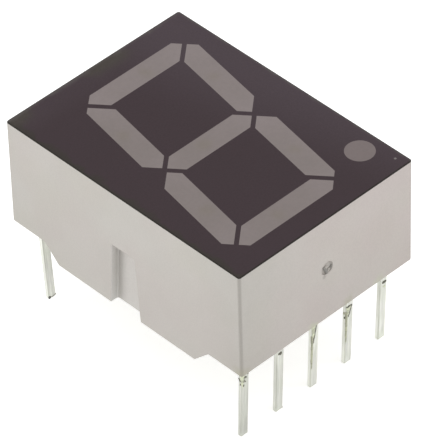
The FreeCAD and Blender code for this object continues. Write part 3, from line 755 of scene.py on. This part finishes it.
# Leads: stamped from steel strip, dipped in tin and toed in. Their broad faces are streaked
# along the draw, their sheared sides are brighter, and the sheared corners are painted greyer
# with the shade on their rounding.
TIN = (0.785, 0.79, 0.745)
TARNISH = (0.68, 0.72, 0.60)
SIDE_TIN = (0.90, 0.91, 0.85)
# Painted shade for the leads at the near corner
SHADED_TIN = (0.50, 0.505, 0.465)
# Sheared metal for the bare tips, also painted as the shade on the rounded corners
SHEARED_AND_SHADED = (0.70, 0.71, 0.64)
BURR = (0.60, 0.60, 0.56)
DARK_BURR = (0.13, 0.13, 0.12)
LEG_TOP = 1.3
LEG_SOFTNESS = 0.05
LEVEL_TOLERANCE = 0.01
# This scale stretches the streaks along the legs
ALONG_DRAW = (1.0, 1.0, 0.07)
# Each spread of a tone has the two places that it runs between, and its share at each
SHADE_FROM_NEAR_CORNER = (1.5, 5.5, 0.6, 0.0)
BARE_UP_FROM_TIP = (-4.5, -4.2, 0.4, 0.0)
LEADS = [name for name in nodes if name.startswith("lead_")]
# A leg's side is -1 below the digit and 1 above it, and its column is its place across. Its
# outer and inner faces are so far from the middle at the leg's top and at its tip.
Leg = collections.namedtuple("Leg", [
    "name", "side", "column", "half_width", "tip", "outer_top", "outer_tip", "inner_top", "inner_tip",
])


def legs_of(lead):
    """The bare legs of a lead, one for each row that it stands in."""
    corners = [vertex.co / MM for vertex in nodes[lead].data.vertices]
    found = []
    for side in (-1, 1):
        leg = [
            corner for corner in corners
            if corner.z < LEG_TOP + LEVEL_TOLERANCE and corner.y * side > 0
        ]
        if not leg:
            continue
        tip = min(corner.z for corner in leg)
        at_tip = [abs(corner.y) for corner in leg if corner.z < tip + LEVEL_TOLERANCE]
        at_top = [abs(corner.y) for corner in leg if corner.z > LEG_TOP - LEVEL_TOLERANCE]
        across = [corner.x for corner in leg]
        found.append(Leg(
            lead, side, (min(across) + max(across)) / 2, (max(across) - min(across)) / 2, tip,
            max(at_top), max(at_tip), min(at_top), min(at_tip),
        ))
    return found


def leg_face(leg, level, outer=True):
    """How far up or down the display a leg's outer or inner face lies at a level."""
    share = (LEG_TOP - level) / (LEG_TOP - leg.tip)
    top, tip = (leg.outer_top, leg.outer_tip) if outer else (leg.inner_top, leg.inner_tip)
    return leg.side * (top + (tip - top) * share)


def make_tin(name, color, tarnish_share, streak_low, roughness):
    material, tree = new_material(name)
    place = in_millimetres(tree)
    drawn = add_node(tree, "ShaderNodeMapping", {"Vector": place, "Scale": ALONG_DRAW}).outputs[0]
    streaks = grain_of(tree, drawn, 0.12)
    wide = patches_of(tree, drawn, 0.35, (3, 3, 1))
    axes = add_node(tree, "ShaderNodeSeparateXYZ", {0: place}).outputs
    tarnish = math_node(tree, "MULTIPLY", patches_of(tree, place, 1.3, (6, 2, 9)), tarnish_share)
    tone = blend_colors(tree, tarnish, color, TARNISH)
    # Painted shade darkens the leads at the near corner, where their reflection is darker
    near_corner_share = ramp(tree, distance_to(tree, in_plan(tree, axes), NEAR_CORNER), *SHADE_FROM_NEAR_CORNER)
    tone = blend_colors(tree, near_corner_share, tone, SHADED_TIN)
    tone = blend_colors(tree, 1.0, tone, ramp(tree, wide, 0.0, 1.0, streak_low, 1.06), "MULTIPLY")
    tone = speckled(tree, tone, streaks, 0.93, 1.05)
    # The cut tip has lost its tin
    bare = math_node(tree, "MULTIPLY_ADD", wide, 0.15, axes[2])
    tone = blend_colors(tree, ramp(tree, bare, *BARE_UP_FROM_TIP), tone, SHEARED_AND_SHADED)
    finish_material(
        tree,
        base_color=tone,
        metallic=1.0,
        roughness=ramp(tree, wide, 0.0, 1.0, roughness, roughness + 0.12),
        normal=bumps(tree, streaks["Height"], 0.008),
    )
    return material


lead_metals = [
    make_tin("tin_face", TIN, 0.35, 0.9, 0.3),
    make_tin("tin_side", SIDE_TIN, 0.2, 0.95, 0.35),
    make_tin("shaded_sheared_corner", SHEARED_AND_SHADED, 0.3, 0.85, 0.4),
    make_dull("burr_metal", BURR, 0.05, 0.45, 1.0),
    make_dull("oiled_burr", DARK_BURR, 0.05, 0.5),
]
ON_FACE, ON_SIDE, ON_CORNER, ON_BURR, ON_DARK_BURR = range(5)

# Each burr has its lead, its place across from the leg's middle and up from its tip, its
# radii across, out and up, and its metal
BURRS = [
    ("lead_d", 0.19, 0.10, (0.09, 0.04, 0.06), ON_BURR),
    ("lead_g", -0.19, 0.11, (0.09, 0.07, 0.10), ON_DARK_BURR),
    ("lead_g", 0.04, 0.06, (0.20, 0.03, 0.035), ON_BURR),
    ("lead_g", 0.22, 0.12, (0.05, 0.04, 0.05), ON_BURR),
]


def add_burr(shape, leg, across, up, radii, metal):
    """A ragged lump of sheared metal at a leg's tip, on the face that looks down the digit."""
    level = leg.tip + up
    middle = (leg.column + across, leg_face(leg, level, outer=leg.side < 0), level)
    burr = add_lump(shape, 2, radii, middle, 0.0, 0.025, 0)
    for vertex in burr:
        vertex.co.z = max(vertex.co.z, cad_low[2])
    for face in {face for vertex in burr for face in vertex.link_faces}:
        face.material_index = metal


LEGS = [leg for lead in LEADS for leg in legs_of(lead)]
for lead in LEADS:
    strip = whole_copy(lead)
    for face in strip.faces:
        face.material_index = ON_SIDE if abs(face.normal.x) > 0.9 else ON_FACE
    own = [leg for leg in LEGS if leg.name == lead]
    low_edges = sharp_edges(strip, lambda point: point.z < LEG_TOP - 0.1)
    soften(strip, low_edges, LEG_SOFTNESS, 3, ON_CORNER)
    for burr_lead, *burr in BURRS:
        if burr_lead == lead:
            add_burr(strip, own[0], *burr)
    make_piece(lead.replace("lead", "stamped_lead"), strip, lead_metals, lead)

# Resin creep: as the potting cured, thin resin ran a little way down the near legs and round
# their left corners. It dried in pale yellowish tongues, some with a dark rim, in films and in
# dark beads.
CREEP = (0.71, 0.74, 0.55)
CREEP_RIM = (0.13, 0.13, 0.09)
CREEP_FILM = (0.50, 0.51, 0.37)
CREEP_CELLS = (28, 26)
CREEP_LIFT = 0.035
CREEP_EDGE = 0.004
CREEP_BACK = 0.04
CREEP_WANDER = 0.05
TONGUE_TAPER = 1.15
TONGUE_TIP = 0.02
BEAD_LIFT = 0.04
BEAD_ROUGHNESS = 0.25
IN_CREEP, IN_RIM, IN_FILM = range(3)
Tongue = collections.namedtuple(
    "Tongue", "left right point top low right_rim resin", defaults=(0, IN_CREEP))
Bead = collections.namedtuple(
    "Bead", "start end level half_height drop resin", defaults=(0, IN_RIM))
# Places round a leg are shares of the way from the back of its left side, round the corner,
# to the right edge of its broad face. A tongue narrows from its left and right borders at
# the top level to a point at the low one. A bead drops by so much from its start to its end.
RESIN_MARKS = {
    "lead_e": [
        Tongue(0.02, 0.62, 0.38, 0.30, -1.00),
        Bead(-0.02, 0.24, -0.46, 0.045, 0.20),
        Bead(0.36, 0.82, -0.30, 0.075, 0.07),
        Bead(0.42, 0.58, -0.52, 0.14),
        Bead(0.40, 0.56, -0.84, 0.08),
        Bead(0.16, 0.28, -0.74, 0.07),
        Bead(0.62, 0.70, -0.62, 0.04),
        Bead(0.84, 0.94, -0.14, 0.05),
    ],
    "lead_d": [
        Bead(0.42, 0.80, -0.36, 0.08),
        Bead(0.55, 0.80, -0.37, 0.12),
    ],
    "lead_common": [
        Tongue(0.24, 0.46, 0.35, -0.80, -3.20, 0, IN_FILM),
        Tongue(0.20, 0.97, 0.50, 0.50, -1.36, 0.12),
    ],
    "lead_c": [
        Tongue(0.24, 0.46, 0.36, -0.80, -3.00, 0, IN_FILM),
        Tongue(0.30, 0.93, 0.58, -0.42, -1.22, 0.12),
        Bead(0.27, 0.90, -0.44, 0.05),
        Bead(0.05, 0.20, -0.92, 0.09, 0, IN_FILM),
        Bead(0.13, 0.26, -1.22, 0.07),
    ],
    "lead_point": [
        Bead(0.50, 0.95, -0.46, 0.09),
        # This pale, glossy bead below the dark one is a painted highlight
        Bead(0.60, 0.84, -0.78, 0.05, 0, IN_CREEP),
    ],
}


def make_resin(name, color, roughness):
    material, tree = new_material(name)
    place = in_millimetres(tree)
    grain = grain_of(tree, place, 0.1)
    cloudy = patches_of(tree, place, 0.25, (1, 2, 3))
    tone = blend_colors(tree, 1.0, color, ramp(tree, cloudy, 0.0, 1.0, 0.8, 1.15), "MULTIPLY")
    finish_material(
        tree,
        base_color=tone,
        roughness=ramp(tree, grain["Speckle"], 0.0, 1.0, roughness, roughness + 0.2),
        normal=bumps(tree, grain["Height"], 0.01),
    )
    return material


def around(leg, share, level, lift):
    """The place at a share of the way round a leg, lifted off its skin."""
    thickness = leg.outer_top - leg.inner_top
    way = share * (thickness + 2 * leg.half_width) - thickness
    left, front = leg.column - leg.half_width, leg_face(leg, level)
    if way < -LEG_SOFTNESS:
        return Vector((left - lift, front - leg.side * -way, level))
    if way > LEG_SOFTNESS:
        return Vector((left + way, front + leg.side * lift, level))
    turn = math.radians(90) * (way + LEG_SOFTNESS) / (2 * LEG_SOFTNESS)
    reach = LEG_SOFTNESS + lift
    return Vector((
        left + LEG_SOFTNESS - reach * math.cos(turn),
        front + leg.side * (reach * math.sin(turn) - LEG_SOFTNESS),
        level,
    ))


def add_tongue(shape, leg, tongue, seed):
    """A film of resin that follows the leg, closed at the back inside the metal."""
    columns, rows = CREEP_CELLS
    film = bmesh.ops.create_grid(shape, x_segments=columns, y_segments=rows, size=0.5)["verts"]
    way_round = leg.outer_top - leg.inner_top + 2 * leg.half_width
    to_right = {}
    for vertex in film:
        across, down = vertex.co.x + 0.5, 0.5 - vertex.co.y
        narrowed = down ** TONGUE_TAPER
        left = tongue.left + (tongue.point - TONGUE_TIP - tongue.left) * narrowed
        right = tongue.right + (tongue.point + TONGUE_TIP - tongue.right) * narrowed
        drift = noise.noise(Vector((seed * 5 + across, down * 6, 0))) * min(1, 4 * down)
        share = left + (right - left) * across + CREEP_WANDER * drift
        level = tongue.top + (tongue.low - tongue.top) * down
        swell = CREEP_LIFT * (4 * across * (1 - across)) ** 0.5 * (1 - down ** 4) + CREEP_EDGE
        vertex.co = around(leg, share, level, swell) * MM
        to_right[vertex] = (1 - across) * (right - left) * way_round
    faces = list(dict.fromkeys(face for vertex in film for face in vertex.link_faces))
    for face in faces:
        in_rim = min(to_right[vertex] for vertex in face.verts) < tongue.right_rim
        face.material_index = IN_RIM if in_rim else tongue.resin
    backed = bmesh.ops.extrude_face_region(shape, geom=faces)["geom"]
    axis_y = leg.side * (leg.outer_top + leg.inner_top) / 2 * MM
    for item in backed:
        if isinstance(item, bmesh.types.BMVert):
            inward = Vector((leg.column * MM - item.co.x, axis_y - item.co.y, 0))
            item.co += inward.normalized() * CREEP_BACK * MM


def add_bead(shape, leg, bead, seed):
    """A ragged lump of resin that is wrapped on to the leg."""
    verts = bmesh.ops.create_icosphere(shape, subdivisions=3, radius=1.0)["verts"]
    for vertex in verts:
        push = noise.noise_vector(vertex.co * 1.5 + Vector((seed, 0, 0)))
        point = vertex.co + push * BEAD_ROUGHNESS
        share = (bead.start + bead.end) / 2 + point.x * (bead.end - bead.start) / 2
        level = bead.level + point.z * bead.half_height - point.x * bead.drop / 2
        vertex.co = around(leg, share, level, -point.y * BEAD_LIFT) * MM
    for face in {face for vertex in verts for face in vertex.link_faces}:
        face.material_index = bead.resin


def turn_outward(shape, faces):
    """Points the faces of one closed lump outward."""
    bmesh.ops.recalc_face_normals(shape, faces=faces)
    if sum(face.calc_center_median().dot(face.normal) * face.calc_area() for face in faces) < 0:
        bmesh.ops.reverse_faces(shape, faces=faces)


creep_materials = [
    make_resin("crept_resin", CREEP, 0.15),
    make_resin("resin_rim", CREEP_RIM, 0.3),
    make_resin("resin_film", CREEP_FILM, 0.35),
]
for lead, marks in RESIN_MARKS.items():
    leg = next(leg for leg in LEGS if leg.name == lead and leg.side < 0)
    creep = bmesh.new()
    for seed, mark in enumerate(marks):
        earlier = set(creep.faces)
        if isinstance(mark, Tongue):
            add_tongue(creep, leg, mark, seed)
        else:
            add_bead(creep, leg, mark, seed)
        turn_outward(creep, [face for face in creep.faces if face not in earlier])
    make_piece(lead.replace("lead", "resin_creep"), creep, creep_materials)

# Potting: epoxy poured into the back, which fills the cavity to a level below the skirts.
# Its free surface creeps up the walls and the legs, and a few bubbles have burst in it.
POTTING = (0.43, 0.41, 0.325)
CLOUDY_POTTING = (0.36, 0.34, 0.25)
POTTING_DUST = (0.22, 0.2, 0.15)
CAVITY_HALF = (HALF_WIDTH - 0.8, HALF_LENGTH - 0.7)
CAVITY_CORNER = 0.3
# Each creep has its rise at a wall or a leg, and the distance over which it fades
WALL_CREEP = (0.2, 0.2)
LEG_CREEP = (0.26, 0.16)
SURFACE_CELLS = (80, 116)
WAVE_HEIGHT = 0.03
SURFACE_BELOW = 0.02
SURFACE_ABOVE = 0.2
BUBBLES = 16
BUBBLE_SPREAD = (0.9, 0.8)
BUBBLE_RADII = (0.08, 0.22)
BUBBLE_DEPTH = 0.25
BUBBLE_RIM = 0.04
BUBBLE_REACH = 1.3


def creep_rise(distance, creep):
    rise, reach = creep
    return rise * math.exp(-distance / reach)


def pull_to_wall(point):
    """Pulls a point on to the cavity's rounded corners, and gives its distance to the wall."""
    beyond = Vector((
        abs(point.x) - CAVITY_HALF[0] + CAVITY_CORNER,
        abs(point.y) - CAVITY_HALF[1] + CAVITY_CORNER,
    ))
    if min(beyond) > 0 and beyond.length > CAVITY_CORNER:
        pulled = beyond.normalized() * CAVITY_CORNER
        point.x = math.copysign(CAVITY_HALF[0] - CAVITY_CORNER + pulled.x, point.x)
        point.y = math.copysign(CAVITY_HALF[1] - CAVITY_CORNER + pulled.y, point.y)
        return 0
    return max(min(CAVITY_HALF[0] - abs(point.x), CAVITY_HALF[1] - abs(point.y)), 0)


def leg_distance(leg, point):
    """How far a point of the potting is from a leg's skin."""
    half_thickness = (leg.outer_top - leg.inner_top) / 2
    middle_y = leg.side * (leg.outer_top + leg.inner_top) / 2
    return math.hypot(
        max(abs(point.x - leg.column) - leg.half_width, 0),
        max(abs(point.y - middle_y) - half_thickness, 0),
    )


def bubble_drop(point, across, up, radius):
    """The raised rim and the hollow of one burst bubble, as a drop of the surface."""
    near = math.hypot(point.x - across, point.y - up) / radius
    if near >= BUBBLE_REACH:
        return 0
    raised = math.exp(-(near - 1) ** 2 / BUBBLE_RIM)
    return BUBBLE_DEPTH * radius * (raised - (1 - min(near, 1) ** 2))


def make_potting():
    material, tree = new_material("potting_resin")
    place = in_millimetres(tree)
    grain = grain_of(tree, place, 0.25)
    cloudy = patches_of(tree, place, 2.0, (9, 9, 4))
    tone = blend_colors(tree, cloudy, POTTING, CLOUDY_POTTING)
    tone = blend_colors(tree, specks_of(tree, place, 0.7, 0.3), tone, POTTING_DUST)
    finish_material(
        tree,
        base_color=tone,
        roughness=ramp(tree, cloudy, 0.0, 1.0, 0.2, 0.34),
        normal=bumps(tree, grain["Height"], 0.01),
    )
    return material


potting_resin = make_potting()
dress("back_potting", potting_resin)
surface = bmesh.new()
bmesh.ops.create_grid(surface, x_segments=SURFACE_CELLS[0], y_segments=SURFACE_CELLS[1], size=1.0)
bmesh.ops.scale(surface, verts=surface.verts, vec=(*CAVITY_HALF, 1.0))
bubble_draw = random.Random(11)
burst = [
    (
        bubble_draw.uniform(-BUBBLE_SPREAD[0], BUBBLE_SPREAD[0]) * CAVITY_HALF[0],
        bubble_draw.uniform(-BUBBLE_SPREAD[1], BUBBLE_SPREAD[1]) * CAVITY_HALF[1],
        bubble_draw.uniform(*BUBBLE_RADII),
    )
    for _ in range(BUBBLES)
]
for vertex in surface.verts:
    point = vertex.co
    drop = creep_rise(pull_to_wall(point), WALL_CREEP)
    drop = max(drop, *(creep_rise(leg_distance(leg, point), LEG_CREEP) for leg in LEGS))
    drop += sum(bubble_drop(point, *bubble) for bubble in burst)
    drop += WAVE_HEIGHT * noise.noise(Vector((point.x, point.y, 0)) * 0.6)
    point.z = LEG_TOP - SURFACE_BELOW - max(drop, -WAVE_HEIGHT / 2)
upper = bmesh.ops.extrude_face_region(surface, geom=surface.faces[:])["geom"]
for item in upper:
    if isinstance(item, bmesh.types.BMVert):
        item.co.z = LEG_TOP + SURFACE_ABOVE
bmesh.ops.scale(surface, verts=surface.verts, vec=(MM, MM, MM))
bmesh.ops.recalc_face_normals(surface, faces=surface.faces)
make_piece("potting_surface", surface, [potting_resin])

# Chips and bond wires: each chip is a sawn crystal, glued to the pad of its own lead, and its
# wire is drawn gold, welded to the common lead. The lower end of a light pipe holds both.
CRYSTAL = (0.30, 0.17, 0.08)
BRIGHT_CRYSTAL = (0.42, 0.26, 0.12)
GOLD = (0.78, 0.52, 0.20)
BRIGHT_GOLD = (0.86, 0.60, 0.27)


def make_two_toned(name, color, bright, grain_size, roughness, metallic):
    """A finish whose grain runs between two tones."""
    material, tree = new_material(name)
    grain = grain_of(tree, in_millimetres(tree), grain_size)
    finish_material(
        tree,
        base_color=blend_colors(tree, grain["Speckle"], color, bright),
        metallic=metallic,
        roughness=roughness,
        normal=bumps(tree, grain["Height"], grain_size / 10),
    )
    return material


crystal = make_two_toned("chip_crystal", CRYSTAL, BRIGHT_CRYSTAL, 0.02, 0.3, 0.0)
gold = make_two_toned("drawn_gold", GOLD, BRIGHT_GOLD, 0.01, 0.25, 1.0)
for name in nodes:
    if name.startswith("chip_"):
        dress(name, crystal)
    elif name.startswith("bond_wire_"):
        dress(name, gold)
